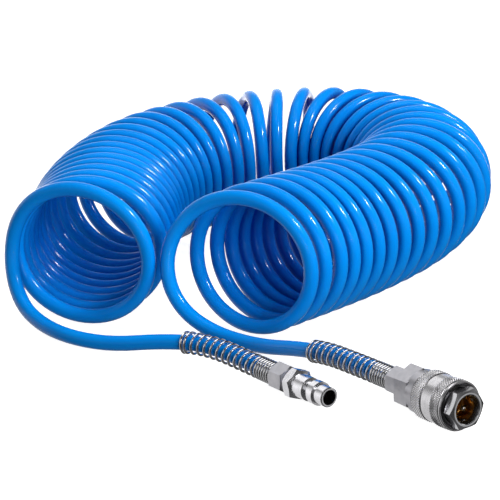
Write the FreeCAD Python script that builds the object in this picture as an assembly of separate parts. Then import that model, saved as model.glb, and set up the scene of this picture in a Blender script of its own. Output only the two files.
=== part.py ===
import FreeCAD, Part
import math
import os

# Spiral air hose with a male plug on one end and a ball-lock coupler on the other.
# Millimetres. +Z is up and the hose lies on the plane z = 0. +X is the direction in which
# both fittings point. The origin is under the middle of the two fittings.

Vector = FreeCAD.Vector

# Hose
HOSE_OD = 8.0
HOSE_ID = 5.0

# Coil: an oval helix whose axis is a horseshoe lying on the floor
TURN_HALF_WIDTH = 39.4
TURN_HALF_HEIGHT = 36.1
COIL_START = (-97.9, 16.3)
FIRST_TURN = -0.125
LAST_TURN = 41.125
STEPS_PER_TURN = 16
TURNS_PER_RUN = 3
# (turn number, heading of the axis in degrees, advance per turn)
COIL_AXIS = [
    (-0.25, 118.5, 24.0),
    (1.0, 106.5, 16.0),
    (3.0, 106.5, 10.5),
    (6.0, 108.5, 12.0),
    (10.0, 115.5, 17.0),
    (13.0, 127.5, 21.0),
    (16.0, 151.5, 17.5),
    (19.0, 194.5, 16.0),
    (22.0, 245.5, 17.0),
    (26.0, 280.5, 18.0),
    (31.0, 310.5, 17.5),
    (36.0, 323.5, 14.0),
    (40.0, 315.5, 14.0),
    (41.25, 295.5, 20.0),
]
COIL_SPLITS = [FIRST_TURN, 13.0, 25.0, LAST_TURN]
COIL_NAMES = ["hose_coil_right", "hose_coil_back", "hose_coil_left"]

# Fittings: tip positions, and heights of their axes above the floor
PLUG_TIP_X = 24.9
PLUG_Y = -14.4
PLUG_Z = 8.1
COUPLER_TIP_X = 86.4
COUPLER_Y = 19.9
COUPLER_Z = 12.5

# Hose end fixings, the same on both fittings
CLAMP_NUT_AF = 13.0
CLAMP_NUT_LENGTH = 10.4
CLAMP_BOSS_R = 5.4
CLAMP_BOSS_LENGTH = 5.6
BARB_R = 2.45
BARB_BORE_R = 1.75
BARB_LENGTH = 9.0
STUB_R = 4.5
STUB_LENGTH = 5.0
GUARD_R = 6.0
GUARD_WIRE = 1.4
GUARD_COILS = 20
# The guard's free end is in the middle of the run that starts at this point of the route
GUARD_FIRST_POINT = 8
RUNNING_GAP = 0.05
SLIP_GAP = 0.02

# Plug, measured back from its tip
PLUG_BORE_R = 3.7
PLUG_BORE_DEPTH = 24.0
NOSE_R = 5.0
RING_R = 6.0
RING_START = 6.9
RING_END = 11.3
PLUG_GROOVE_R = 4.5
PLUG_GROOVE_START = 12.2
PLUG_GROOVE_END = 14.2
COLLAR_R = 6.0
COLLAR_START = 14.8
PLUG_FLANGE_AF = 14.0
PLUG_FLANGE_SPIN = 12.0
PLUG_FLANGE_START = 23.0
PLUG_FLANGE_END = 28.6
PLUG_NUT_START = 31.1

# Coupler, measured back from its mouth
MOUTH_AF = 18.0
MOUTH_SPIN = -25.0
MOUTH_LENGTH = 5.5
MOUTH_CHAMFER = 1.1
MOUTH_R = 7.1
SOCKET_START = 3.0
SOCKET_R = 6.2
BALL_RELIEF_START = 8.2
BALL_RELIEF_END = 11.8
BALL_RELIEF_R = 6.5
NECK_R = 8.0
NECK_END = 34.2
RING_GROOVE_START = 6.2
RING_GROOVE_END = 7.2
RING_GROOVE_DEPTH = 0.6
CHAMBER_R = 6.9
CARRIER_START = 15.2
CARRIER_END = 21.5
CARRIER_BORE_R = 5.15
SEAL_GROOVE_START = 17.1
SEAL_GROOVE_END = 18.9
SEAL_GROOVE_R = 6.35
ADAPTER_AF = 20.0
ADAPTER_START = 28.8
ADAPTER_NECK_R = 10.9
ADAPTER_HEX_START = 32.8
ADAPTER_END = 43.0
ADAPTER_FLOOR = 35.2
ADAPTER_BORE_R = 4.5
ADAPTER_BORE_END = 39.0
COUPLER_NUT_START = 43.8

# Ball lock
BALLS = 6
BALL_R = 1.6
BALL_HOLE_R = 1.65
BALL_U = 10.0
BALL_CENTRE_R = 6.35
SLEEVE_TRAVEL = 4.5
BALL_TRAVEL = 1.45
BALL_GAP = 0.03

# Sleeve
SLEEVE_START = 5.9
SLEEVE_END = 27.8
SLEEVE_RIM_R = 12.2
SLEEVE_RIM_END = 7.0
SLEEVE_BAND_R = 11.9
FRONT_KNURL_R = 12.5
FRONT_KNURL_START = 7.8
FRONT_KNURL_END = 13.6
REAR_KNURL_R = 12.4
REAR_KNURL_START = 21.1
REAR_KNURL_END = 27.3
SLEEVE_GROOVE_R = 11.6
SLEEVE_GROOVE_START = 20.5
SLEEVE_RECESS_R = 11.5
SLEEVE_FACE_R = 9.6
SLEEVE_GUIDE_R = NECK_R + RUNNING_GAP
SLEEVE_SHOULDER = 7.15
SLEEVE_POCKET_R = 10.4
SLEEVE_POCKET_END = 24.0
SLEEVE_SKIRT_R = 11.3
WASHER_START = 14.6
WASHER_THICKNESS = 0.8
SLEEVE_SPRING_R = 9.4
SLEEVE_SPRING_WALL = 0.3

# Valve
VALVE_NOSE_START = 20.0
VALVE_NOSE_R = 4.6
VALVE_NOSE_BORE_R = 3.6
VALVE_HEAD_R = 5.6
VALVE_FACE = 21.6
VALVE_HEAD = 2.0
VALVE_STEM_R = 1.6
VALVE_STEM_END = 31.8
VALVE_GUIDE_START = 28.0
VALVE_GUIDE_END = 29.6
VALVE_PORT_R = 1.0
VALVE_PORT_CENTRE_R = 4.7
VALVE_SPRING_R = 3.4
VALVE_SPRING_WALL = 0.3

# Route of the hose from the coupler end of the coil to the coupler
COUPLER_HOSE_END_X = COUPLER_TIP_X - ADAPTER_END - CLAMP_BOSS_LENGTH
COUPLER_ROUTE = [
    (-124.6, 5.9, 66.1),
    (-130.3, -1.5, 53.9),
    (-130.4, -6.2, 39.2),
    (-125.4, -6.4, 24.4),
    (-115.6, -2.2, 12.5),
    (-100.4, 4.7, 5.6),
    (-83.9, 9.9, 4.0),
    (-65.9, 14.0, 5.0),
    (-45.4, 17.3, 9.0),
    (-21.9, 19.5, 12.1),
    (-4.9, 19.8, 12.4),
    (16.6, COUPLER_Y, COUPLER_Z),
    (COUPLER_HOSE_END_X, COUPLER_Y, COUPLER_Z),
]

# Route of the hose from the plug end of the coil to the plug
PLUG_HOSE_END_X = PLUG_TIP_X - PLUG_FLANGE_END - CLAMP_BOSS_LENGTH
PLUG_ROUTE = [
    (-190.6, -54.3, 66.1),
    (-197.9, -58.7, 53.1),
    (-199.1, -61.0, 37.4),
    (-192.9, -63.0, 22.2),
    (-180.1, -64.1, 11.1),
    (-160.6, -63.0, 5.7),
    (-138.0, -57.9, 4.0),
    (-116.4, -47.6, 4.6),
    (-95.2, -33.5, 9.2),
    (-71.1, -20.5, 11.9),
    (-32.8, PLUG_Y, PLUG_Z),
    (PLUG_HOSE_END_X, PLUG_Y, PLUG_Z),
]
ARC_SHARE = 0.45


def turned(profile):
    """A body turned about the X axis from (distance back from the tip, radius) points."""
    points = [Vector(-back, 0, radius) for back, radius in profile]
    face = Part.Face(Part.makePolygon(points + [points[0]]))
    return face.revolve(Vector(0, 0, 0), Vector(1, 0, 0), 360)


def tube(start, end, inner, outer):
    """A plain ring or tube about the X axis."""
    return turned([(start, inner), (start, outer), (end, outer), (end, inner)])


def torus(back, centre_r, section_r):
    """An O-ring about the X axis."""
    return Part.makeTorus(centre_r, section_r, Vector(-back, 0, 0), Vector(1, 0, 0))


def hexagon(across_flats, start, end, front_chamfer, rear_chamfer, spin=0.0):
    """A hexagonal bar along X with turned chamfers, turned by spin from corners up and down."""
    corner = across_flats / math.sqrt(3)
    angles = [math.radians(90 + spin + 60 * step) for step in range(7)]
    points = [Vector(-end, corner * math.cos(a), corner * math.sin(a)) for a in angles]
    bar = Part.Face(Part.makePolygon(points)).extrude(Vector(end - start, 0, 0))
    outline = [
        (start, 0),
        (start, corner - 2 * front_chamfer),
        (start + front_chamfer, corner),
        (end - rear_chamfer, corner),
        (end, corner - 2 * rear_chamfer),
        (end, 0),
    ]
    return bar.common(turned(outline))


def placed(shape, tip_x, axis_y, axis_z):
    """A fitting's piece moved from the X axis to its place."""
    moved = shape.copy()
    moved.translate(Vector(tip_x, axis_y, axis_z))
    return moved


def at_coupler(shape):
    return placed(shape, COUPLER_TIP_X, COUPLER_Y, COUPLER_Z)


def at_plug(shape):
    return placed(shape, PLUG_TIP_X, PLUG_Y, PLUG_Z)


def path_edges(points, name):
    """Straight runs joined by tangent arcs, each as large as its two runs allow."""
    corners = [Vector(*point) for point in points]
    edges = []
    last = corners[0]
    radii = []
    for before, corner, after in zip(corners, corners[1:], corners[2:]):
        run_in = corner - before
        run_out = after - corner
        reach = ARC_SHARE * min(run_in.Length, run_out.Length)
        half_turn = run_in.getAngle(run_out) / 2
        radius = reach / math.tan(half_turn)
        radii.append(radius)
        into = Vector(run_in).normalize()
        out = Vector(run_out).normalize()
        start = corner - into * reach
        end = corner + out * reach
        centre = corner + (out - into).normalize() * (radius / math.cos(half_turn))
        middle = centre + (corner - centre).normalize() * radius
        edges.append(Part.LineSegment(last, start).toShape())
        edges.append(Part.Arc(start, middle, end).toShape())
        last = end
    edges.append(Part.LineSegment(last, corners[-1]).toShape())
    print(name, "arc radii", [round(radius, 1) for radius in radii])
    return edges


def swept(edges, radius):
    """A round bar along a path of lines and arcs."""
    wire = Part.Wire(edges)
    first = edges[0]
    start = first.valueAt(first.FirstParameter)
    direction = first.tangentAt(first.FirstParameter)
    circle = Part.Wire(Part.makeCircle(radius, start, direction))
    return wire.makePipeShell([circle], True, False)


def swept_tube(edges, outer, inner, name):
    """A tube along a path, with its volume compared with section times length."""
    shape = swept(edges, outer).cut(swept(edges, inner))
    length = sum(edge.Length for edge in edges)
    expected = math.pi * (outer ** 2 - inner ** 2) * length
    print(name, "length", round(length, 1), "volume ratio", round(shape.Volume / expected, 4))
    return shape


def between(table, turn, column):
    """The value in one column of the coil's table at a turn number."""
    for low, high in zip(table, table[1:]):
        if turn <= high[0]:
            share = (turn - low[0]) / (high[0] - low[0])
            return low[column] + share * (high[column] - low[column])
    return table[-1][column]


def coil_axis(turns):
    """Positions of the coil's axis at a rising list of turn numbers."""
    x, y = COIL_START
    turn = COIL_AXIS[0][0]
    points = []
    for goal in turns:
        steps = max(1, round((goal - turn) * STEPS_PER_TURN))
        step = (goal - turn) / steps
        for _ in range(steps):
            middle = turn + step / 2
            heading = math.radians(between(COIL_AXIS, middle, 1))
            advance = between(COIL_AXIS, middle, 2) * step
            x += advance * math.cos(heading)
            y += advance * math.sin(heading)
            turn += step
        points.append((x, y))
    return points


def oval(across, up):
    """An upright elliptical face about the X axis, wider than it is tall."""
    ellipse = Part.Ellipse(Vector(0, across, 0), Vector(0, 0, up), Vector(0, 0, 0))
    return Part.Face(Part.Wire(ellipse.toShape()))


def oval_section(point, heading, wall):
    """The coil's section: a thin upright oval ring at a point of its axis."""
    half = HOSE_OD / 2
    outer = oval(TURN_HALF_WIDTH + half, TURN_HALF_HEIGHT + half)
    inner = oval(TURN_HALF_WIDTH + half - wall, TURN_HALF_HEIGHT + half - wall)
    face = outer.cut(inner).Faces[0]
    face.rotate(Vector(0, 0, 0), Vector(0, 0, 1), heading)
    face.translate(Vector(point[0], point[1], TURN_HALF_HEIGHT + half))
    return face


def heading_of(run):
    return math.degrees(math.atan2(run.y, run.x))


def coil_stretch(points, wall):
    """One stretch of the coil's outer shape: straight runs joined by turned bends."""
    corners = [Vector(point[0], point[1], 0) for point in points]
    last = corners[0]
    pieces = []
    for before, corner, after in zip(corners, corners[1:], corners[2:]):
        run_in = corner - before
        run_out = after - corner
        turn = heading_of(run_out) - heading_of(run_in)
        turn = (turn + 180) % 360 - 180
        reach = ARC_SHARE * min(run_in.Length, run_out.Length)
        into = Vector(run_in).normalize()
        start = corner - into * reach
        section = oval_section((last.x, last.y), heading_of(run_in), wall)
        pieces.append(section.extrude(start - last))
        radius = reach / math.tan(math.radians(abs(turn)) / 2)
        side = Vector(-into.y, into.x, 0) * math.copysign(1, turn)
        section = oval_section((start.x, start.y), heading_of(run_in), wall)
        spin = Vector(0, 0, math.copysign(1, turn))
        pieces.append(section.revolve(start + side * radius, spin, abs(turn)))
        last = corner + Vector(run_out).normalize() * reach
    end = corners[-1]
    section = oval_section((last.x, last.y), heading_of(end - last), wall)
    pieces.append(section.extrude(end - last))
    return pieces[0].multiFuse(pieces[1:]).removeSplitter()


def hose_coil():
    """The coil's three stretches, whose wall holds as much material as the hose in them."""
    turn_length = 2 * math.pi * math.sqrt((TURN_HALF_WIDTH ** 2 + TURN_HALF_HEIGHT ** 2) / 2)
    hose_section = math.pi * (HOSE_OD ** 2 - HOSE_ID ** 2) / 4
    shapes = {}
    for name, first, last in zip(COIL_NAMES, COIL_SPLITS, COIL_SPLITS[1:]):
        count = round((last - first) / TURNS_PER_RUN)
        turns = [first + (last - first) * step / count for step in range(count + 1)]
        points = coil_axis(turns)
        axis_length = sum(math.dist(a, b) for a, b in zip(points, points[1:]))
        wall = hose_section * (last - first) / axis_length
        shapes[name] = coil_stretch(points, wall)
        print(name, "hose", round(turn_length * (last - first)), "wall", round(wall, 2))
    return shapes


def clamp_nut(start, fitting_end):
    """Hexagonal nut that squeezes the hose onto the barb, with a stub for the guard."""
    end = start + CLAMP_NUT_LENGTH
    stub_end = end + STUB_LENGTH
    body = hexagon(CLAMP_NUT_AF, start, end, 0.8, 0.5)
    stub = turned([(end - 1, 0), (end - 1, STUB_R), (stub_end, STUB_R), (stub_end, 0)])
    seat = fitting_end + CLAMP_BOSS_LENGTH + 0.4
    bore = turned([
        (start - 1, 0),
        (start - 1, CLAMP_BOSS_R + RUNNING_GAP),
        (seat, CLAMP_BOSS_R + RUNNING_GAP),
        (seat + 1.5, HOSE_OD / 2 + SLIP_GAP),
        (stub_end + 1, HOSE_OD / 2 + SLIP_GAP),
        (stub_end + 1, 0),
    ])
    return body.fuse(stub).cut(bore)


def barb_profile(start):
    """Outline of the threaded boss and barb that follow a fitting's hexagon."""
    boss_end = start + CLAMP_BOSS_LENGTH
    barb_end = boss_end + BARB_LENGTH
    return [
        (start, CLAMP_BOSS_R),
        (boss_end, CLAMP_BOSS_R),
        (boss_end, BARB_R),
        (barb_end - 1, BARB_R),
        (barb_end, BARB_BORE_R + 0.3),
        (barb_end, 0),
    ]


def plug_body():
    """Male plug: nose, ring, locking groove, collar, flange, boss, barb and bore."""
    front = turned([
        (0, 0),
        (0, NOSE_R - 0.5),
        (0.5, NOSE_R),
        (RING_START, NOSE_R),
        (RING_START, RING_R - 0.15),
        (RING_START + 0.15, RING_R),
        (RING_END - 0.3, RING_R),
        (RING_END, RING_R - 0.3),
        (PLUG_GROOVE_START, PLUG_GROOVE_R),
        (PLUG_GROOVE_END, PLUG_GROOVE_R),
        (COLLAR_START, COLLAR_R - 0.2),
        (COLLAR_START + 0.2, COLLAR_R),
        (PLUG_FLANGE_START + 1, COLLAR_R),
        (PLUG_FLANGE_START + 1, 0),
    ])
    flange = hexagon(PLUG_FLANGE_AF, PLUG_FLANGE_START, PLUG_FLANGE_END, 1.2, 0.5, PLUG_FLANGE_SPIN)
    rear = turned([(PLUG_FLANGE_END - 1, 0)] + barb_profile(PLUG_FLANGE_END))
    barb_end = PLUG_FLANGE_END + CLAMP_BOSS_LENGTH + BARB_LENGTH
    bore = turned([
        (-1, 0),
        (-1, PLUG_BORE_R + 0.4),
        (0.4, PLUG_BORE_R),
        (PLUG_BORE_DEPTH, PLUG_BORE_R),
        (PLUG_BORE_DEPTH + 2, BARB_BORE_R),
        (barb_end + 1, BARB_BORE_R),
        (barb_end + 1, 0),
    ])
    return front.fuse(flange).fuse(rear).cut(bore)


def ball_angles():
    return [360 / BALLS * step for step in range(BALLS)]


def front_body():
    """Coupler body: hexagonal mouth, socket, ball cage, chamber and rear thread."""
    head = hexagon(MOUTH_AF, 0, MOUTH_LENGTH, MOUTH_CHAMFER, 0.4, MOUTH_SPIN)
    groove_r = NECK_R - RING_GROOVE_DEPTH
    outline = [
        (MOUTH_LENGTH - 0.5, 0),
        (MOUTH_LENGTH - 0.5, NECK_R),
        (RING_GROOVE_START, NECK_R),
        (RING_GROOVE_START, groove_r),
        (RING_GROOVE_END, groove_r),
        (RING_GROOVE_END, NECK_R),
        (NECK_END - 0.5, NECK_R),
        (NECK_END, NECK_R - 0.5),
        (NECK_END, 0),
    ]
    bore = turned([
        (-1, 0),
        (-1, MOUTH_R + 0.3),
        (0, MOUTH_R + 0.3),
        (0.3, MOUTH_R),
        (SOCKET_START, SOCKET_R),
        (BALL_RELIEF_START, SOCKET_R),
        (BALL_RELIEF_START, BALL_RELIEF_R),
        (BALL_RELIEF_END, BALL_RELIEF_R),
        (BALL_RELIEF_END, SOCKET_R),
        (CARRIER_START, SOCKET_R),
        (CARRIER_START, CHAMBER_R),
        (NECK_END + 1, CHAMBER_R),
        (NECK_END + 1, 0),
    ])
    body = head.fuse(turned(outline)).cut(bore)
    for angle in ball_angles():
        hole = Part.makeCylinder(BALL_HOLE_R, 2 * NECK_R, Vector(-BALL_U, 0, 0), Vector(0, 0, 1))
        hole.rotate(Vector(0, 0, 0), Vector(1, 0, 0), angle)
        body = body.cut(hole)
    return body


def seal_carrier():
    """Brass bush that carries the plug seal and is the valve's seat."""
    return turned([
        (CARRIER_START, CARRIER_BORE_R),
        (CARRIER_START, CHAMBER_R),
        (CARRIER_END, CHAMBER_R),
        (CARRIER_END, CARRIER_BORE_R),
        (SEAL_GROOVE_END, CARRIER_BORE_R),
        (SEAL_GROOVE_END, SEAL_GROOVE_R),
        (SEAL_GROOVE_START, SEAL_GROOVE_R),
        (SEAL_GROOVE_START, CARRIER_BORE_R),
    ])


def plug_seal():
    """O-ring in the carrier's groove, which grips the plug's nose."""
    section_r = (SEAL_GROOVE_R - NOSE_R + RUNNING_GAP) / 2
    return torus((SEAL_GROOVE_START + SEAL_GROOVE_END) / 2, SEAL_GROOVE_R - section_r, section_r)


def valve_poppet():
    """Valve: a hollow nose that the plug pushes, a head and a guided stem."""
    head_end = VALVE_FACE + VALVE_HEAD
    neck_end = VALVE_FACE + 0.2
    return turned([
        (VALVE_NOSE_START, VALVE_NOSE_BORE_R),
        (VALVE_NOSE_START, VALVE_NOSE_R),
        (neck_end, VALVE_NOSE_R),
        (neck_end, VALVE_HEAD_R),
        (head_end, VALVE_HEAD_R),
        (head_end, VALVE_STEM_R + 0.4),
        (head_end + 0.6, VALVE_STEM_R),
        (VALVE_STEM_END - 0.3, VALVE_STEM_R),
        (VALVE_STEM_END, VALVE_STEM_R - 0.3),
        (VALVE_STEM_END, 0),
        (VALVE_NOSE_START + 1, 0),
        (VALVE_NOSE_START + 1, VALVE_NOSE_BORE_R),
    ])


def valve_seal():
    """Flat ring between the valve's head and the end of the seal carrier."""
    return tube(CARRIER_END + RUNNING_GAP, VALVE_FACE + 0.2, VALVE_NOSE_R + RUNNING_GAP, VALVE_HEAD_R)


def valve_guide():
    """Disc behind the valve with a hole for its stem and ports for the air."""
    disc = tube(VALVE_GUIDE_START, VALVE_GUIDE_END, VALVE_STEM_R + RUNNING_GAP, CHAMBER_R)
    depth = VALVE_GUIDE_END - VALVE_GUIDE_START + 2
    for angle in ball_angles():
        base = Vector(-VALVE_GUIDE_END - 1, 0, VALVE_PORT_CENTRE_R)
        port = Part.makeCylinder(VALVE_PORT_R, depth, base, Vector(1, 0, 0))
        port.rotate(Vector(0, 0, 0), Vector(1, 0, 0), angle)
        disc = disc.cut(port)
    return disc


def adapter():
    """Rear body of the coupler: round neck, hexagonal socket, boss and barb."""
    neck = turned([
        (ADAPTER_START, 0),
        (ADAPTER_START, ADAPTER_NECK_R - 0.3),
        (ADAPTER_START + 0.3, ADAPTER_NECK_R),
        (ADAPTER_HEX_START + 1, ADAPTER_NECK_R),
        (ADAPTER_HEX_START + 1, 0),
    ])
    body = hexagon(ADAPTER_AF, ADAPTER_HEX_START, ADAPTER_END, 0.7, 0.4).fuse(neck)
    rear = turned([(ADAPTER_END - 1, 0)] + barb_profile(ADAPTER_END))
    barb_end = ADAPTER_END + CLAMP_BOSS_LENGTH + BARB_LENGTH
    bore = turned([
        (ADAPTER_START - 1, 0),
        (ADAPTER_START - 1, NECK_R),
        (ADAPTER_FLOOR, NECK_R),
        (ADAPTER_FLOOR, ADAPTER_BORE_R),
        (ADAPTER_BORE_END, ADAPTER_BORE_R),
        (ADAPTER_BORE_END + 2.5, BARB_BORE_R),
        (barb_end + 1, BARB_BORE_R),
        (barb_end + 1, 0),
    ])
    return body.fuse(rear).cut(bore)


def locking_sleeve():
    """Sleeve: two grip bands outside; ramp, guide, spring pocket and skirt inside."""
    slope = BALL_TRAVEL / SLEEVE_TRAVEL
    ramp_r = BALL_CENTRE_R + (BALL_R + BALL_GAP) / math.cos(math.atan(slope))
    ramp_front_r = ramp_r + slope * (BALL_U - SLEEVE_SHOULDER)
    ramp_end = BALL_U + (ramp_r - SLEEVE_GUIDE_R) / slope
    pocket_start = WASHER_START - 0.1
    return turned([
        (SLEEVE_START, SLEEVE_RECESS_R),
        (SLEEVE_START, SLEEVE_RIM_R - 0.3),
        (SLEEVE_START + 0.3, SLEEVE_RIM_R),
        (SLEEVE_RIM_END, SLEEVE_RIM_R),
        (SLEEVE_RIM_END + 0.2, SLEEVE_RIM_R - 0.2),
        (FRONT_KNURL_START - 0.2, SLEEVE_RIM_R - 0.2),
        (FRONT_KNURL_START, FRONT_KNURL_R),
        (FRONT_KNURL_END, FRONT_KNURL_R),
        (FRONT_KNURL_END + 0.3, SLEEVE_BAND_R),
        (SLEEVE_GROOVE_START - 0.1, SLEEVE_BAND_R),
        (SLEEVE_GROOVE_START, SLEEVE_GROOVE_R),
        (SLEEVE_GROOVE_START + 0.4, SLEEVE_GROOVE_R),
        (REAR_KNURL_START, REAR_KNURL_R),
        (REAR_KNURL_END, REAR_KNURL_R),
        (SLEEVE_END, SLEEVE_BAND_R),
        (SLEEVE_END, SLEEVE_SKIRT_R),
        (SLEEVE_POCKET_END, SLEEVE_SKIRT_R),
        (SLEEVE_POCKET_END, SLEEVE_POCKET_R),
        (pocket_start, SLEEVE_POCKET_R),
        (pocket_start, SLEEVE_GUIDE_R),
        (ramp_end, SLEEVE_GUIDE_R),
        (SLEEVE_SHOULDER, ramp_front_r),
        (SLEEVE_SHOULDER, SLEEVE_FACE_R),
    ])


def retaining_ring():
    """Split ring in the neck's groove that stops the sleeve at the front."""
    inner = NECK_R - RING_GROOVE_DEPTH + RUNNING_GAP
    ring = tube(RING_GROOVE_START + 0.1, RING_GROOVE_END - 0.1, inner, SLEEVE_FACE_R - 0.35)
    gap = Part.makeBox(2, 2.4, 4, Vector(-RING_GROOVE_END - 0.5, -1.2, NECK_R - 2))
    return ring.cut(gap)


def locking_ball(angle):
    ball = Part.makeSphere(BALL_R, Vector(-BALL_U, 0, BALL_CENTRE_R))
    ball.rotate(Vector(0, 0, 0), Vector(1, 0, 0), angle)
    return ball


def spring_guard(edges, nut_end, name):
    """Plain tube with the guard wire's own volume, from its free end to the nut."""
    middle_r = GUARD_R - GUARD_WIRE / 2
    wire_volume = math.pi * GUARD_WIRE ** 2 / 4 * 2 * math.pi * middle_r * GUARD_COILS
    first = edges[2 * GUARD_FIRST_POINT]
    half_way = first.valueAt((first.FirstParameter + first.LastParameter) / 2)
    start = Part.LineSegment(half_way, first.valueAt(first.LastParameter)).toShape()
    last = edges[-1]
    end = Part.LineSegment(last.valueAt(last.FirstParameter), nut_end).toShape()
    path = [start] + edges[2 * GUARD_FIRST_POINT + 1:-1] + [end]
    length = sum(edge.Length for edge in path)
    inner = math.sqrt(GUARD_R ** 2 - wire_volume / (math.pi * length))
    return swept_tube(path, GUARD_R, inner, name)


def hose_and_guards():
    """Both hose tails and the guards around them."""
    coupler_path = path_edges(COUPLER_ROUTE, "hose_tail_coupler")
    plug_path = path_edges(PLUG_ROUTE, "hose_tail_plug")
    outer = HOSE_OD / 2
    inner = HOSE_ID / 2
    coupler_nut_end = Vector(COUPLER_TIP_X - COUPLER_NUT_START - CLAMP_NUT_LENGTH, COUPLER_Y, COUPLER_Z)
    plug_nut_end = Vector(PLUG_TIP_X - PLUG_NUT_START - CLAMP_NUT_LENGTH, PLUG_Y, PLUG_Z)
    return {
        "hose_tail_coupler": swept_tube(coupler_path, outer, inner, "hose_tail_coupler"),
        "hose_tail_plug": swept_tube(plug_path, outer, inner, "hose_tail_plug"),
        "coupler_spring_guard": spring_guard(coupler_path, coupler_nut_end, "coupler_spring_guard"),
        "plug_spring_guard": spring_guard(plug_path, plug_nut_end, "plug_spring_guard"),
    }


def coupler_pieces():
    washer_end = WASHER_START + WASHER_THICKNESS
    valve_back = VALVE_FACE + VALVE_HEAD
    valve_spring_inner = VALVE_SPRING_R - VALVE_SPRING_WALL
    sleeve_spring_inner = SLEEVE_SPRING_R - SLEEVE_SPRING_WALL
    pieces = {
        "coupler_clamp_nut": clamp_nut(COUPLER_NUT_START, ADAPTER_END),
        "coupler_adapter": adapter(),
        "coupler_front_body": front_body(),
        "seal_carrier": seal_carrier(),
        "plug_seal": plug_seal(),
        "valve_poppet": valve_poppet(),
        "valve_seal": valve_seal(),
        "valve_spring": tube(valve_back, VALVE_GUIDE_START, valve_spring_inner, VALVE_SPRING_R),
        "valve_guide": valve_guide(),
        "body_seal": tube(NECK_END, ADAPTER_FLOOR, 6.0, 7.4),
        "retaining_ring": retaining_ring(),
        "thrust_washer": tube(WASHER_START, washer_end, NECK_R + 0.1, SLEEVE_POCKET_R - 0.3),
        "sleeve_spring": tube(washer_end, ADAPTER_START, sleeve_spring_inner, SLEEVE_SPRING_R),
        "locking_sleeve": locking_sleeve(),
    }
    for number, angle in enumerate(ball_angles(), start=1):
        pieces["locking_ball_%d" % number] = locking_ball(angle)
    return {name: at_coupler(shape) for name, shape in pieces.items()}


def plug_pieces():
    return {
        "plug_body": at_plug(plug_body()),
        "plug_clamp_nut": at_plug(clamp_nut(PLUG_NUT_START, PLUG_FLANGE_END)),
    }


def main():
    os.makedirs("parts", exist_ok=True)
    shapes = {}
    shapes.update(hose_coil())
    shapes.update(hose_and_guards())
    shapes.update(plug_pieces())
    shapes.update(coupler_pieces())
    for name, shape in shapes.items():
        box = shape.optimalBoundingBox()
        low = (round(box.XMin, 2), round(box.YMin, 2), round(box.ZMin, 2))
        high = (round(box.XMax, 2), round(box.YMax, 2), round(box.ZMax, 2))
        print(name, "valid", shape.isValid(), "solids", len(shape.Solids), low, high, round(shape.Volume))
        shape.exportStep("parts/%s.step" % name)


main()
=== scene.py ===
import bpy
import math
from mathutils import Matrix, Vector


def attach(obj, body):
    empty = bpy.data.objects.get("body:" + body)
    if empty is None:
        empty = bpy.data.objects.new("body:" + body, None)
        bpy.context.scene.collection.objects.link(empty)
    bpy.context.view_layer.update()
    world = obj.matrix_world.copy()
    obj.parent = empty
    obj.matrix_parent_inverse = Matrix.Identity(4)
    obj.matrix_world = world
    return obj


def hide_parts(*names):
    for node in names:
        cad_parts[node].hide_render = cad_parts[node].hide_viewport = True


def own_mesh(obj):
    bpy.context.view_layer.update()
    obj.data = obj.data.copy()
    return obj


# Spiral air hose with a plug and a ball-lock coupler, in metres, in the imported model's frame.
# +X is the direction both fittings point, +Z is up, and the hose lies on z = 0.

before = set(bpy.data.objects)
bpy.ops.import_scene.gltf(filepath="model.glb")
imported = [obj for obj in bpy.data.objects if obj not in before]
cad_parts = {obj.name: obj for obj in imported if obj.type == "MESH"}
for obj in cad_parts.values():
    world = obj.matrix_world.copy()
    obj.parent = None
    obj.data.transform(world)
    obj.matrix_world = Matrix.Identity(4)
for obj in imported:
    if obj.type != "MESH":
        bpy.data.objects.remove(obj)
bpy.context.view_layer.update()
SCENE = bpy.context.scene
ROOT = "hose_and_fittings"

# ---------------------------------------------------------------- driving dimensions

# Camera
CAMERA_PLACE = (0.8761, -0.6567, 0.3662)
CAMERA_TILT = 75.02
CAMERA_HEADING = 55.0
CAMERA_LENS = 169.2

# Hose and its coil
HOSE_OD = 0.008
TURN_HALF_WIDTH = 0.0394
TURN_HALF_HEIGHT = 0.0361
COIL_START = (-0.0979, 0.0163)
STEPS_PER_TURN = 16
# First and last of the coil's control points, counted from the start of its turn 0
FIRST_STEP = -1
LAST_STEP = 657
# (turn number, heading of the axis in degrees, advance per turn, how far the turn lags in degrees)
COIL_AXIS = [
    (-0.25, 118.5, 0.0240, 0),
    (1.0, 106.5, 0.0160, 0),
    (3.0, 106.5, 0.0105, 0),
    (6.0, 108.5, 0.0120, 0),
    (10.0, 115.5, 0.0170, 2),
    (13.0, 127.5, 0.0210, 6),
    (16.0, 151.5, 0.0175, 12),
    (19.0, 194.5, 0.0160, 20),
    (22.0, 245.5, 0.0170, 25),
    (26.0, 280.5, 0.0180, 18),
    (31.0, 310.5, 0.0175, 8),
    (36.0, 323.5, 0.0140, 2),
    (40.0, 315.5, 0.0140, 0),
    (41.25, 295.5, 0.0200, 0),
]
# Columns of that table
HEADING = 1
ADVANCE = 2
LAG = 3

# Fittings: (tip x, axis y, axis z), and how far behind the tip the hose ends
PLUG_TIP = (0.0249, -0.0144, 0.0081)
COUPLER_TIP = (0.0864, 0.0199, 0.0125)
PLUG_HOSE_END = 0.0342
COUPLER_HOSE_END = 0.0486

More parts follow.
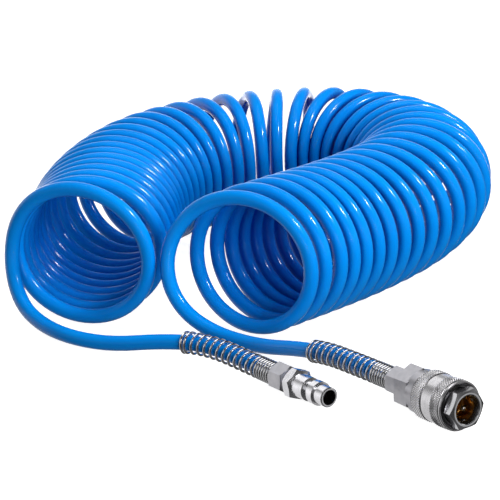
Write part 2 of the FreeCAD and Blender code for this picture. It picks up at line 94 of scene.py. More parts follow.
# Route of the hose from the coil to each fitting
COUPLER_ROUTE = [
    (-0.1246, 0.0059, 0.0661),
    (-0.1303, -0.0015, 0.0539),
    (-0.1304, -0.0062, 0.0392),
    (-0.1254, -0.0064, 0.0244),
    (-0.1156, -0.0022, 0.0125),
    (-0.1004, 0.0047, 0.0056),
    (-0.0839, 0.0099, 0.0040),
    (-0.0659, 0.0140, 0.0050),
    (-0.0454, 0.0173, 0.0090),
    (-0.0219, 0.0195, 0.0121),
    (-0.0049, 0.0198, 0.0124),
    (0.0166, 0.0199, 0.0125),
    (COUPLER_TIP[0] - COUPLER_HOSE_END, 0.0199, 0.0125),
]
PLUG_ROUTE = [
    (-0.1906, -0.0543, 0.0661),
    (-0.1979, -0.0587, 0.0531),
    (-0.1991, -0.0610, 0.0374),
    (-0.1929, -0.0630, 0.0222),
    (-0.1801, -0.0641, 0.0111),
    (-0.1606, -0.0630, 0.0057),
    (-0.1380, -0.0579, 0.0040),
    (-0.1164, -0.0476, 0.0046),
    (-0.0952, -0.0335, 0.0092),
    (-0.0711, -0.0205, 0.0119),
    (-0.0328, -0.0144, 0.0081),
    (PLUG_TIP[0] - PLUG_HOSE_END, -0.0144, 0.0081),
]

# Wire guards: (distance along the hose from its end to the nut's face, open turns, angle in radians
# at which the wire starts) for each
GUARD_R = 0.0060
GUARD_WIRE_R = 0.0007
GUARD_CLOSED_PITCH = 0.00190
GUARD_OPEN_PITCH = 0.00445
GUARD_CLOSED_TURNS = 6.5
GUARD_OPENING_TURNS = 0.5
GUARD_CLOSING_TURNS = 0.4
GUARD_END_TURNS = 1.1
GUARD_STEPS = 26
GUARD_LINE_POINTS = 400
COUPLER_GUARD = (0.0056, 11.4, 1.0)
PLUG_GUARD = (0.0073, 12.0, 2.0)

# Thread that shows on the plug's boss: distances back from the plug's tip
THREAD_START = 0.0289
THREAD_END = 0.0308
THREAD_PITCH = 0.0010
THREAD_ROOT_R = 0.0052
THREAD_RIDGE_R = 0.00032
THREAD_STEPS = 36

# Coupler's inner springs: distances back from the mouth, and (coil radius, wire radius, turns)
WASHER_END = 0.0154
ADAPTER_START = 0.0288
SLEEVE_SPRING = (0.00925, 0.0005, 6.5)
VALVE_BACK = 0.0236
VALVE_GUIDE = 0.0280
VALVE_SPRING = (0.0031, 0.0003, 5.5)
SPRING_END_TURNS = 0.75
SPRING_STEPS = 24

# Locking sleeve: (distance back from the mouth, radius) round its section, from the front lip over
# the outside to the back and home through the bore, and (start, end, radius) of the knurled bands
SLEEVE_LIP = [(0.0059, 0.0119), (0.0060, 0.01212), (0.0062, 0.0122), (0.00685, 0.0122), (0.0070, 0.0121),
              (0.0072, 0.01185), (0.0076, 0.01185)]
FRONT_BAND = (0.0078, 0.0136, 0.0125)
SLEEVE_WAIST = [(0.0139, 0.0119), (0.0141, 0.0119), (0.0203, 0.0119), (0.0205, 0.0116), (0.0209, 0.0116)]
BACK_BAND = (0.0211, 0.0273, 0.0124)
SLEEVE_BORE = [(0.0276, 0.0120), (0.0278, 0.0118), (0.0278, 0.0113), (0.0240, 0.0113), (0.0240, 0.0104),
               (0.0145, 0.0104), (0.0145, 0.00805), (0.0101, 0.00805), (0.00715, 0.00898),
               (0.00715, 0.0096), (0.00705, 0.0097), (0.0060, 0.01145), (0.0059, 0.0116)]
SLEEVE_GIRTH = 0.0785
KNURL_CELLS = 58
KNURL_CELL = SLEEVE_GIRTH / KNURL_CELLS
KNURL_STEPS = 4
KNURL_DEPTH = 0.00050
KNURL_POINTEDNESS = 1.5
KNURL_EDGE_WIDTH = 0.0001
KNURL_EDGE_DROP = 0.00045

# Bare brass shows inside PLATING_EDGE_R and deeper than PLATING_DEPTH, where the plating fades out
PLATING_EDGE_R = 0.0068
PLATING_FADE_R = 0.0001
PLATING_DEPTH = 0.0050
PLATING_FADE_DEPTH = 0.0005
SOCKET_BRASS = (0.85, 0.58, 0.25, 1)

# Materials: noise from NOISE_LOW to NOISE_HIGH is spread over the whole of a colour or roughness range
NOISE_LOW = 0.3
NOISE_HIGH = 0.7
UNSTRETCHED = (1, 1, 1)
# Painted shade: the first pair is the deeper blue that stands in for shade inside the coil and between its
# turns
HOSE_PAINTED_SHADE = ((0.0, 0.012, 0.25), (0.0, 0.016, 0.29))
HOSE_LIT = ((0.0, 0.240, 0.77), (0.0, 0.268, 0.84))
RUBBER_BLACK = ((0.012, 0.012, 0.012), (0.03, 0.03, 0.03))
METAL_CLOUD_SCALE = 260.0
METAL_BUMP = 0.35

# Metals: (darker colour, lighter colour, roughness range, stretch of the grain along each axis,
# scale of the grain, its depth, radius of the rounding on edges)
METALS = {
    "bright_spring_wire": (
        (0.72, 0.72, 0.74), (0.86, 0.86, 0.88), (0.06, 0.14), (1, 1, 1), 700.0, 0.00003, 0.0),
    "turned_nickel": (
        (0.76, 0.76, 0.79), (0.88, 0.87, 0.90), (0.14, 0.27), (40, 1, 1), 90.0, 0.00004, 0.00012),
    "satin_nickel": (
        (0.44, 0.44, 0.47), (0.53, 0.52, 0.55), (0.28, 0.40), (1, 12, 12), 220.0, 0.00004, 0.00018),
    "polished_nickel": (
        (0.62, 0.62, 0.64), (0.74, 0.74, 0.76), (0.10, 0.20), (20, 1, 1), 120.0, 0.00003, 0.00016),
    "knurled_nickel": (
        (0.62, 0.61, 0.63), (0.78, 0.77, 0.79), (0.20, 0.32), (30, 1, 1), 100.0, 0.00003, 0.0),
    "dark_spring_steel": (
        (0.16, 0.16, 0.17), (0.24, 0.24, 0.25), (0.25, 0.40), (20, 1, 1), 150.0, 0.00004, 0.0001),
    "hardened_steel": (
        (0.55, 0.55, 0.57), (0.62, 0.62, 0.64), (0.05, 0.12), (1, 1, 1), 500.0, 0.00002, 0.0),
    "machined_brass": (
        (0.62, 0.36, 0.11), (0.78, 0.50, 0.18), (0.22, 0.38), (40, 1, 1), 90.0, 0.00004, 0.0001),
}

# Finish of each CAD node that stays visible
BALL_COUNT = 6
NODE_FINISH = {
    "plug_body": "turned_nickel",
    "plug_clamp_nut": "satin_nickel",
    "coupler_clamp_nut": "satin_nickel",
    "coupler_adapter": "satin_nickel",
    "coupler_front_body": "polished_nickel",
    "seal_carrier": "machined_brass",
    "plug_seal": "nitrile_rubber",
    "valve_poppet": "machined_brass",
    "valve_seal": "nitrile_rubber",
    "valve_guide": "machined_brass",
    "body_seal": "nitrile_rubber",
    "retaining_ring": "dark_spring_steel",
    "thrust_washer": "dark_spring_steel",
}
for ball in range(1, BALL_COUNT + 1):
    NODE_FINISH["locking_ball_%d" % ball] = "hardened_steel"

# The hose gets its painted shade, a deeper blue, where no more than the first share of its surroundings is
# open to it, and its lit colour from the second share on
ENCLOSED_SHARE = 0.28
OPEN_SHARE = 0.60

# Studio: directions with X above WORLD_DARK_X are dark, and below WORLD_WHITE_X white. Each side has
# (height from straight down at 0 to straight up at 1, grey)
WORLD_DARK_X = -0.42
WORLD_WHITE_X = -0.80
DARK_SIDE = [(0.0, 0.12), (0.25, 0.06), (0.45, 0.06), (0.6, 0.20), (0.75, 0.06), (1.0, 0.05)]
WHITE_SIDE = [(0.0, 0.6), (0.35, 0.95), (0.5, 1.2), (0.62, 1.0), (0.75, 0.3), (1.0, 0.1)]
FLOOR_HALF = 4.0
FLOOR_GREY = (0.5, 0.5, 0.5, 1)
FLOOR_GLOW = 0.93

# Lights: (name, place, (width, height), power, whether reflections show it, what it falls on)
HOSE_MIDDLE = (-0.13, 0.08, 0.04)
LIGHTS = [
    ("overhead", (-0.35, 0.25, 1.5), (1.0, 1.0), 14.0, False, "all"),
    ("front_fill", (0.95, -0.25, 0.25), (0.6, 0.3), 8.0, False, "all"),
    ("right_fill", (0.75, 0.35, 0.10), (0.5, 0.2), 1.6, False, "all"),
    ("hose_back", (-1.05, 0.72, -0.12), (0.9, 0.4), 1.5, True, "hose"),
    ("hose_rear", (-1.05, 0.72, 0.30), (0.6, 0.4), 8.0, False, "hose"),
    ("right_box", (0.62, 0.60, 1.06), (0.20, 0.20), 10.0, True, "hose"),
    ("fittings_top", (-0.20, 0.10, 1.2), (0.8, 0.8), 4.2, True, "fittings"),
    ("fittings_back", (-0.90, 0.08, 0.75), (0.9, 0.6), 1.5, True, "fittings"),
    ("fittings_front", (0.95, -0.30, 0.55), (0.3, 0.3), 1.2, True, "fittings"),
    ("fittings_low", (0.88, 0.57, -0.25), (0.6, 0.4), 0.3, True, "fittings"),
    ("fittings_left", (0.0, -1.4, 0.5), (0.9, 0.9), 1.8, True, "fittings"),
    ("fittings_right", (0.0, 1.4, 0.5), (0.9, 0.9), 1.8, True, "fittings"),
    ("fittings_above", (0.0, 0.0, 1.5), (0.9, 0.9), 1.8, True, "fittings"),
]


# ---------------------------------------------------------------- camera and hose

def make_camera():
    """A long lens that looks down on the object a little, from the front right."""
    data = bpy.data.cameras.new("camera")
    data.lens = CAMERA_LENS
    data.sensor_width = 36
    data.clip_start = 0.01
    data.clip_end = 20
    camera = bpy.data.objects.new("camera", data)
    SCENE.collection.objects.link(camera)
    camera.location = CAMERA_PLACE
    camera.rotation_euler = (math.radians(CAMERA_TILT), 0, math.radians(CAMERA_HEADING))
    SCENE.camera = camera


def between(turn, column):
    """The value in one column of the coil's table at a turn number."""
    for low, high in zip(COIL_AXIS, COIL_AXIS[1:]):
        if turn <= high[0]:
            share = (turn - low[0]) / (high[0] - low[0])
            return low[column] + share * (high[column] - low[column])
    return COIL_AXIS[-1][column]


def on_turn(x, y, turn):
    """A control point of the coil where its axis stands over (x, y), just outside the hose's line."""
    outside = 1 / math.cos(math.pi / STEPS_PER_TURN)
    heading = math.radians(between(turn, HEADING) - between(turn, LAG))
    across = TURN_HALF_WIDTH * outside * math.sin(2 * math.pi * turn)
    up = TURN_HALF_HEIGHT * outside * math.cos(2 * math.pi * turn)
    height = TURN_HALF_HEIGHT + HOSE_OD / 2 + up
    return x + across * math.sin(heading), y - across * math.cos(heading), height


def coil_points():
    """Control points of the coil: an oval helix round an axis that bends into a horseshoe."""
    x, y = COIL_START
    step = 1 / STEPS_PER_TURN
    turn = COIL_AXIS[0][0]
    points = []
    for number in range(round(turn * STEPS_PER_TURN) + 1, LAST_STEP + 1):
        middle = turn + step / 2
        heading = math.radians(between(middle, HEADING))
        x += between(middle, ADVANCE) * step * math.cos(heading)
        y += between(middle, ADVANCE) * step * math.sin(heading)
        turn += step
        if number >= FIRST_STEP:
            points.append(on_turn(x, y, turn))
    return points


def make_hose():
    """The whole hose as one open NURBS spline from the coupler's nut to the plug's nut."""
    points = COUPLER_ROUTE[::-1] + coil_points() + PLUG_ROUTE
    curve = bpy.data.curves.new("air_hose", "CURVE")
    curve.dimensions = "3D"
    curve.bevel_depth = HOSE_OD / 2
    curve.bevel_resolution = 6
    curve.resolution_u = 4
    curve.use_fill_caps = True
    spline = curve.splines.new("NURBS")
    spline.points.add(len(points) - 1)
    for control, point in zip(spline.points, points):
        control.co = (*point, 1)
    spline.order_u = 3
    spline.use_endpoint_u = True
    hose = bpy.data.objects.new("air_hose", curve)
    SCENE.collection.objects.link(hose)
    return hose


def centreline(hose):
    """The points that the hose's own spline passes through, in order."""
    bare = hose.data.copy()
    bare.bevel_depth = 0
    bare.resolution_u = 16
    holder = bpy.data.objects.new("bare_line", bare)
    mesh = bpy.data.meshes.new_from_object(holder)
    points = [vertex.co.copy() for vertex in mesh.vertices]
    bpy.data.meshes.remove(mesh)
    bpy.data.objects.remove(holder)
    bpy.data.curves.remove(bare)
    return points


# ---------------------------------------------------------------- mesh helpers

def new_piece(name, vertices, faces, body, material, crease=35):
    """A mesh piece that rides on a body, smooth except at edges sharper than crease."""
    mesh = bpy.data.meshes.new(name)
    mesh.from_pydata(vertices, [], faces)
    mesh.validate()
    mesh.polygons.foreach_set("use_smooth", [True] * len(mesh.polygons))
    mesh.set_sharp_from_angle(angle=math.radians(crease))
    mesh.materials.append(material)
    piece = bpy.data.objects.new(name, mesh)
    SCENE.collection.objects.link(piece)
    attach(piece, body)
    return piece


def ring_mesh(rings, closed):
    """Faces between rings of equal size, capped at both ends, or closed into a loop."""
    count = len(rings[0])
    vertices = [point for ring in rings for point in ring]
    faces = []
    pairs = len(rings) if closed else len(rings) - 1
    for ring in range(pairs):
        low = ring * count
        high = (ring + 1) % len(rings) * count
        for side in range(count):
            after = (side + 1) % count
            faces.append((low + side, low + after, high + after, high + side))
    if not closed:
        faces.append(tuple(range(count - 1, -1, -1)))
        last = (len(rings) - 1) * count
        faces.append(tuple(range(last, last + count)))
    return vertices, faces


def swept_wire(points, radius, sides):
    """A round wire along a list of points, with flat ends."""
    rings = []
    side_way = Vector((0, 0, 1))
    for index, point in enumerate(points):
        before = points[max(index - 1, 0)]
        after = points[min(index + 1, len(points) - 1)]
        forward = (after - before).normalized()
        side_way = (side_way - forward * side_way.dot(forward)).normalized()
        other_way = forward.cross(side_way)
        ring = []
        for side in range(sides):
            angle = 2 * math.pi * side / sides
            ring.append(point + (side_way * math.cos(angle) + other_way * math.sin(angle)) * radius)
        rings.append(ring)
    return ring_mesh(rings, False)


def lathe(tip, rows, segments, relief):
    """A closed body turned about the line through tip along X, from (back, radius) rows.

    relief gives how far a point is pressed in, from its row's number and its share of a turn."""
    rings = []
    for number, (back, radius) in enumerate(rows):
        ring = []
        for segment in range(segments):
            share = segment / segments
            angle = 2 * math.pi * share
            reach = radius - relief(number, share)
            ring.append((tip[0] - back, tip[1] + reach * math.cos(angle), tip[2] + reach * math.sin(angle)))
        rings.append(ring)
    return ring_mesh(rings, True)


def winding(tip, radius, turns, steps, back_at):
    """Points that wind about the line through tip along X. back_at gives how far back a turn is."""
    points = []
    for number in range(round(turns * steps) + 1):
        turn = number / steps
        angle = 2 * math.pi * turn
        points.append(Vector((
            tip[0] - back_at(turn),
            tip[1] + radius * math.cos(angle),
            tip[2] + radius * math.sin(angle),
        )))
    return points


def held(value):
    """The value, held between 0 and 1."""
    return min(max(value, 0), 1)


# ---------------------------------------------------------------- pieces

class Line:
    """The hose's centreline from one of its ends, with places by distance."""

    def __init__(self, points):
        self.points = points
        self.marks = [0.0]
        for a, b in zip(points, points[1:]):
            self.marks.append(self.marks[-1] + (b - a).length)

    def at(self, distance):
        """The point and direction at a distance along the line."""
        index = 1
        while self.marks[index] < distance:
            index += 1
        span = self.marks[index] - self.marks[index - 1]
        share = (distance - self.marks[index - 1]) / span
        low = self.points[index - 1]
        high = self.points[index]
        before = self.points[max(index - 2, 0)]
        after = self.points[index + 1]
        start_way = (high - before).normalized()
        end_way = (after - low).normalized()
        return low.lerp(high, share), start_way.lerp(end_way, share).normalized()


def guard_pitch(turn, total):
    """Pitch of the guard's wire: closed at the nut, open along its length, closed at its end."""
    opening = held((turn - GUARD_CLOSED_TURNS) / GUARD_OPENING_TURNS)
    closing = held((total - GUARD_END_TURNS - turn) / GUARD_CLOSING_TURNS)
    return GUARD_CLOSED_PITCH + min(opening, closing) * (GUARD_OPEN_PITCH - GUARD_CLOSED_PITCH)


def make_guard(name, line, nut_end, open_turns, phase, material):
    """A wire bend guard that winds round the hose, from the nut to its free end."""
    total = GUARD_CLOSED_TURNS + open_turns + GUARD_END_TURNS
    reach = GUARD_R - GUARD_WIRE_R
    distance = nut_end + GUARD_WIRE_R
    points = []
    for number in range(round(total * GUARD_STEPS) + 1):
        turn = number / GUARD_STEPS
        centre, forward = line.at(distance)
        side_way = forward.cross(Vector((0, 0, 1))).normalized()
        up = side_way.cross(forward)
        angle = phase + 2 * math.pi * turn
        points.append(centre + (side_way * math.cos(angle) + up * math.sin(angle)) * reach)
        distance += guard_pitch(turn, total) / GUARD_STEPS
    vertices, faces = swept_wire(points, GUARD_WIRE_R, sides=10)
    guard = new_piece(name, vertices, faces, ROOT, material, crease=60)
    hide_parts(name)


def make_guards(line, material):
    """Both bend guards, each on its own end of the hose's line."""
    coupler_end = Line(line[:GUARD_LINE_POINTS])
    plug_end = Line(line[::-1][:GUARD_LINE_POINTS])
    make_guard("coupler_spring_guard", coupler_end, *COUPLER_GUARD, material)
    make_guard("plug_spring_guard", plug_end, *PLUG_GUARD, material)


def make_spring(name, start, end, radius, wire_r, turns, material):
    """A compression spring about the coupler's axis, with a closed coil at each end."""

    def back_at(turn):
        share = held((turn - SPRING_END_TURNS) / (turns - 2 * SPRING_END_TURNS))
        return start + wire_r + share * (end - start - 2 * wire_r)

    points = winding(COUPLER_TIP, radius, turns, SPRING_STEPS, back_at)
    vertices, faces = swept_wire(points, wire_r, sides=8)
    spring = new_piece(name, vertices, faces, ROOT, material, crease=60)
    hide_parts(name)
    return spring


def shorten(spring):
    """Gives a spring its own copy of its mesh data."""
    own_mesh(spring)


def make_springs(material):
    """The spring behind the locking sleeve's washer and the one behind the valve."""
    sleeve_spring = make_spring("sleeve_spring", WASHER_END, ADAPTER_START, *SLEEVE_SPRING, material)
    shorten(sleeve_spring)
    valve_spring = make_spring("valve_spring", VALVE_BACK, VALVE_GUIDE, *VALVE_SPRING, material)
    shorten(valve_spring)


def make_thread(material):
    """The turns of thread that show on the plug's boss, between its hexagon and the clamp nut."""
    turns = (THREAD_END - THREAD_START) / THREAD_PITCH

    def back_at(turn):
        return THREAD_START + THREAD_PITCH * turn

    points = winding(PLUG_TIP, THREAD_ROOT_R, turns, THREAD_STEPS, back_at)
    vertices, faces = swept_wire(points, THREAD_RIDGE_R, sides=6)
    new_piece("plug_thread", vertices, faces, ROOT, material)


def plain_rows(outline):
    """Rows of a stretch without a knurl."""
    return [(back, radius, False) for back, radius in outline]


def knurled_rows(start, end, radius):
    """Rows of a band cut with a diamond knurl, with a sloping edge at each end."""
    count = round((end - start) / KNURL_CELL * KNURL_STEPS)
    first = start + KNURL_EDGE_WIDTH
    length = end - start - 2 * KNURL_EDGE_WIDTH
    rows = [(start, radius - KNURL_EDGE_DROP, False)]
    rows += [(first + length * number / count, radius, True) for number in range(count + 1)]
    rows.append((end, radius - KNURL_EDGE_DROP, False))
    return rows


def sleeve_rows():
    """Rows of the locking sleeve: (back, radius, whether the knurl cuts it)."""
    front = plain_rows(SLEEVE_LIP) + knurled_rows(*FRONT_BAND)
    back = plain_rows(SLEEVE_WAIST) + knurled_rows(*BACK_BAND)
    return front + back + plain_rows(SLEEVE_BORE)


def wave(value):
    """A triangle wave that goes from 1 to 0 and back over each whole number."""
    return abs(value % 1 * 2 - 1)


def make_sleeve(material):
    """The locking sleeve, with its two diamond-knurled bands cut into the metal."""
    rows = sleeve_rows()

    def knurl(number, share):
        back, _, knurled = rows[number]
        if not knurled:
            return 0
        along = back / KNURL_CELL
        around = share * KNURL_CELLS
        cut = max(wave(around + along), wave(around - along))
        return KNURL_DEPTH * cut ** KNURL_POINTEDNESS

    outline = [(back, radius) for back, radius, _ in rows]
    vertices, faces = lathe(COUPLER_TIP, outline, KNURL_CELLS * KNURL_STEPS, knurl)
    sleeve = new_piece("grip_sleeve", vertices, faces, "sleeve", material, crease=32)
    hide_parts("locking_sleeve")


# ---------------------------------------------------------------- materials

def new_material(name):
    """A node material, with its tree and its shader."""
    material = bpy.data.materials.new(name)
    material.use_nodes = True
    tree = material.node_tree
    return material, tree, tree.nodes["Principled BSDF"]


def add_node(tree, kind, **inputs):
    """A node with some of its inputs set by name."""
    node = tree.nodes.new(kind)
    for name, value in inputs.items():
        node.inputs[name.replace("_", " ")].default_value = value
    return node


def stretched(tree, scale):
    """Object coordinates stretched by a scale along each axis."""
    place = tree.nodes.new("ShaderNodeTexCoord")
    mapping = add_node(tree, "ShaderNodeMapping", Scale=scale)
    tree.links.new(place.outputs["Object"], mapping.inputs["Vector"])
    return mapping.outputs["Vector"]


def noise(tree, vector, scale, detail):
    """The value of a noise texture at a place."""
    node = add_node(tree, "ShaderNodeTexNoise", Scale=scale, Detail=detail)
    tree.links.new(vector, node.inputs["Vector"])
    return node.outputs["Fac"]


def remapped(tree, value, start, end, low=0.0, high=1.0):
    """A value that goes from low at start to high at end, and stays between them."""
    node = add_node(tree, "ShaderNodeMapRange", From_Min=start, From_Max=end, To_Min=low, To_Max=high)
    tree.links.new(value, node.inputs["Value"])
    return node.outputs["Result"]


def spread(tree, value, low, high):
    """Maps a noise value onto a range."""
    return remapped(tree, value, NOISE_LOW, NOISE_HIGH, low, high)


def colour_between(tree, value, low, high):
    """Two colours mixed by a noise value."""
    ramp = tree.nodes.new("ShaderNodeValToRGB")
    ramp.color_ramp.elements[0].position = NOISE_LOW
    ramp.color_ramp.elements[0].color = (*low, 1)
    ramp.color_ramp.elements[1].position = NOISE_HIGH
    ramp.color_ramp.elements[1].color = (*high, 1)
    tree.links.new(value, ramp.inputs["Fac"])
    return ramp.outputs["Color"]


def mixer(tree, share, second):
    """A node that goes from its colour A, which the caller sets, to the second colour by a share."""
    node = tree.nodes.new("ShaderNodeMix")
    node.data_type = "RGBA"
    tree.links.new(share, node.inputs["Factor"])
    tree.links.new(second, node.inputs["B"])
    return node


def bump(tree, shader, height, distance, strength, edge=0.0):
    """Bump from a height, over edges that are rounded by a radius."""
    node = add_node(tree, "ShaderNodeBump", Distance=distance, Strength=strength)
    tree.links.new(height, node.inputs["Height"])
    if edge > 0:
        rounded = add_node(tree, "ShaderNodeBevel", Radius=edge)
        rounded.samples = 4
        tree.links.new(rounded.outputs["Normal"], node.inputs["Normal"])
    tree.links.new(node.outputs["Normal"], shader.inputs["Normal"])


def hose_colour_with_painted_shade(tree, even):
    """Azure in the open, with painted shade of a deeper blue inside the coil where the hose's own occlusion
    is high, both faintly uneven.
    """
    cloud = noise(tree, even, scale=45.0, detail=2.0)
    # Painted shade: ambient occlusion of the hose on itself mixes the deeper blue into its base colour
    openness = add_node(tree, "ShaderNodeAmbientOcclusion", Distance=3 * TURN_HALF_HEIGHT)
    openness.samples = 6
    openness.only_local = True
    open_share = remapped(tree, openness.outputs["AO"], ENCLOSED_SHARE, OPEN_SHARE)
    both = mixer(tree, open_share, colour_between(tree, cloud, *HOSE_LIT))
    tree.links.new(colour_between(tree, cloud, *HOSE_PAINTED_SHADE), both.inputs["A"])
    return both.outputs["Result"]


def hose_material():
    """Glossy polyurethane with fine marks from its drawing."""
    material, tree, shader = new_material("azure_polyurethane")
    even = stretched(tree, UNSTRETCHED)
    tree.links.new(hose_colour_with_painted_shade(tree, even), shader.inputs["Base Color"])
    fine = noise(tree, even, scale=900.0, detail=4.0)
    tree.links.new(spread(tree, fine, low=0.12, high=0.18), shader.inputs["Roughness"])
    shader.inputs["IOR"].default_value = 1.42
    shader.inputs["Subsurface Weight"].default_value = 0.10
    shader.inputs["Subsurface Radius"].default_value = (0.2, 0.6, 1.0)
    shader.inputs["Subsurface Scale"].default_value = 0.0025
    bump(tree, shader, fine, distance=0.00006, strength=0.25)
    return material


def metal(name):
    """A metal of the table, with a fine grain, uneven polish and softly rounded edges."""
    dark, light, roughness, grain, scale, depth, edge = METALS[name]
    material, tree, shader = new_material(name)
    shader.inputs["Metallic"].default_value = 1.0
    lines = noise(tree, stretched(tree, grain), scale, detail=4.0)
    cloud = noise(tree, stretched(tree, UNSTRETCHED), METAL_CLOUD_SCALE, detail=3.0)
    tree.links.new(colour_between(tree, cloud, dark, light), shader.inputs["Base Color"])
    tree.links.new(spread(tree, lines, *roughness), shader.inputs["Roughness"])
    bump(tree, shader, lines, depth, METAL_BUMP, edge)
    return material


def mouth_distances(tree):
    """Distance from the coupler's axis, and distance in front of its tip along X."""
    place = tree.nodes.new("ShaderNodeTexCoord")
    from_tip = tree.nodes.new("ShaderNodeVectorMath")
    from_tip.operation = "SUBTRACT"
    from_tip.inputs[1].default_value = COUPLER_TIP
    tree.links.new(place.outputs["Object"], from_tip.inputs[0])
    across = tree.nodes.new("ShaderNodeVectorMath")
    across.operation = "MULTIPLY"
    across.inputs[1].default_value = (0, 1, 1)
    tree.links.new(from_tip.outputs["Vector"], across.inputs[0])
    radius = tree.nodes.new("ShaderNodeVectorMath")
    radius.operation = "LENGTH"
    tree.links.new(across.outputs["Vector"], radius.inputs[0])
    along = tree.nodes.new("ShaderNodeSeparateXYZ")
    tree.links.new(from_tip.outputs["Vector"], along.inputs["Vector"])
    return radius.outputs["Value"], along.outputs["X"]


def add_brass_socket(material):
    """Shows bare machined brass in the socket, where the plating of the outside and mouth ends."""
    tree = material.node_tree
    shader = tree.nodes["Principled BSDF"]
    radius, along = mouth_distances(tree)
    plated_share = tree.nodes.new("ShaderNodeMath")
    plated_share.operation = "MAXIMUM"
    outside = remapped(tree, radius, PLATING_EDGE_R - PLATING_FADE_R, PLATING_EDGE_R)
    in_front = remapped(tree, along, -PLATING_DEPTH - PLATING_FADE_DEPTH, -PLATING_DEPTH)
    tree.links.new(outside, plated_share.inputs[0])
    tree.links.new(in_front, plated_share.inputs[1])
    plated = shader.inputs["Base Color"].links[0].from_socket
    both = mixer(tree, plated_share.outputs["Value"], plated)
    both.inputs["A"].default_value = SOCKET_BRASS
    tree.links.new(both.outputs["Result"], shader.inputs["Base Color"])


def rubber_material():
    """Matt black rubber."""
    material, tree, shader = new_material("nitrile_rubber")
    cloud = noise(tree, stretched(tree, UNSTRETCHED), scale=1200.0, detail=4.0)
    tree.links.new(colour_between(tree, cloud, *RUBBER_BLACK), shader.inputs["Base Color"])
    tree.links.new(spread(tree, cloud, low=0.45, high=0.7), shader.inputs["Roughness"])
    bump(tree, shader, cloud, distance=0.00005, strength=0.4)
    return material


def make_materials():
    """Every material by its name."""
    materials = {name: metal(name) for name in METALS}
    add_brass_socket(materials["polished_nickel"])
    materials["azure_polyurethane"] = hose_material()
    materials["nitrile_rubber"] = rubber_material()
    return materials


def finish_cad_nodes(materials):
    """Gives each visible CAD node its own finish."""
    for name, finish in NODE_FINISH.items():
        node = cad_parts[name]
        if not node.material_slots:
            node.data.materials.append(materials[finish])
        for place in node.material_slots:
            place.material = materials[finish]


# ---------------------------------------------------------------- studio

def shine_only_on(light, pieces):
    """Lets a light fall on only some of the pieces."""
    receivers = bpy.data.collections.new(light.name + "_receivers")
    for piece in pieces:
        receivers.objects.link(piece)
    light.light_linking.receiver_collection = receivers


def make_floor():
    """A pale, evenly bright floor that adds nothing to the light on the object."""
    corners = [(-FLOOR_HALF, -FLOOR_HALF, 0), (FLOOR_HALF, -FLOOR_HALF, 0),
               (FLOOR_HALF, FLOOR_HALF, 0), (-FLOOR_HALF, FLOOR_HALF, 0)]
    mesh = bpy.data.meshes.new("floor")
    mesh.from_pydata(corners, [], [(0, 1, 2, 3)])
    material, _, shader = new_material("pale_floor")
    shader.inputs["Base Color"].default_value = FLOOR_GREY
    shader.inputs["Roughness"].default_value = 0.9
    shader.inputs["Specular IOR Level"].default_value = 0.0
    shader.inputs["Emission Color"].default_value = (1, 1, 1, 1)
    shader.inputs["Emission Strength"].default_value = FLOOR_GLOW
    mesh.materials.append(material)
    floor = bpy.data.objects.new("floor", mesh)
    floor.visible_glossy = False
    floor.visible_diffuse = False
    floor.visible_shadow = False
    SCENE.collection.objects.link(floor)


def make_world():
    """Soft surroundings: white behind the fittings, on the -X side, and dark in front of them."""
    world = bpy.data.worlds.new("studio")
    SCENE.world = world
    SCENE.view_settings.view_transform = "Standard"
    world.use_nodes = True
    tree = world.node_tree
    place = tree.nodes.new("ShaderNodeTexCoord")
    parts = tree.nodes.new("ShaderNodeSeparateXYZ")
    tree.links.new(place.outputs["Generated"], parts.inputs["Vector"])
    side = add_node(tree, "ShaderNodeMapRange", From_Min=WORLD_DARK_X, From_Max=WORLD_WHITE_X)
    side.interpolation_type = "SMOOTHSTEP"
    tree.links.new(parts.outputs["X"], side.inputs["Value"])
    height = remapped(tree, parts.outputs["Z"], -1.0, 1.0)
    both = mixer(tree, side.outputs["Result"], grey_ramp(tree, height, WHITE_SIDE))
    tree.links.new(grey_ramp(tree, height, DARK_SIDE), both.inputs["A"])
    tree.links.new(both.outputs["Result"], tree.nodes["Background"].inputs["Color"])


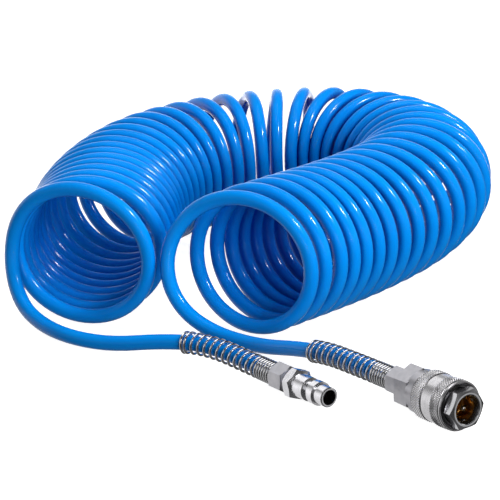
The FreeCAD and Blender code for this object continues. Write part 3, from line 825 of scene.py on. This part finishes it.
def grey_ramp(tree, height, stops):
    """A grey for each height, from straight down at 0 to straight up at 1."""
    ramp = tree.nodes.new("ShaderNodeValToRGB")
    elements = ramp.color_ramp.elements
    for element, (position, grey) in zip(elements, (stops[0], stops[-1])):
        element.position = position
        element.color = (grey, grey, grey, 1)
    for position, grey in stops[1:-1]:
        elements.new(position).color = (grey, grey, grey, 1)
    tree.links.new(height, ramp.inputs["Fac"])
    return ramp.outputs["Color"]


def make_light(name, place, aim, size, power, mirrored):
    """An area light that the camera doesn't see, and that reflections show only if mirrored."""
    data = bpy.data.lights.new(name, "AREA")
    data.shape = "RECTANGLE"
    data.size, data.size_y = size
    data.energy = power
    light = bpy.data.objects.new(name, data)
    SCENE.collection.objects.link(light)
    light.location = place
    light.rotation_euler = (Vector(aim) - Vector(place)).to_track_quat("-Z", "Y").to_euler()
    light.visible_camera = False
    light.visible_glossy = mirrored
    return light


def make_lights():
    """The lights of the table: some fall on everything, some only on the hose or the fittings."""
    hose = SCENE.objects["air_hose"]
    fittings = [piece for piece in SCENE.objects if piece.type == "MESH" and piece.name != "floor"]
    receivers = {"all": [], "hose": [hose], "fittings": fittings}
    for name, place, size, power, mirrored, falls_on in LIGHTS:
        aim = COUPLER_TIP if falls_on == "fittings" else HOSE_MIDDLE
        light = make_light(name, place, aim, size, power, mirrored)
        if receivers[falls_on]:
            shine_only_on(light, receivers[falls_on])


# ---------------------------------------------------------------- the scene

def make_object():
    """The hose first, then the pieces on it, then the fittings' own pieces."""
    hose = make_hose()
    line = centreline(hose)
    materials = make_materials()
    hose.data.materials.append(materials["azure_polyurethane"])
    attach(hose, ROOT)
    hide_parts("hose_coil_right", "hose_coil_back", "hose_coil_left",
                "hose_tail_coupler", "hose_tail_plug")
    make_guards(line, materials["bright_spring_wire"])
    make_sleeve(materials["knurled_nickel"])
    make_springs(materials["bright_spring_wire"])
    make_thread(materials["turned_nickel"])
    finish_cad_nodes(materials)


make_camera()
make_object()
make_floor()
make_world()
make_lights()
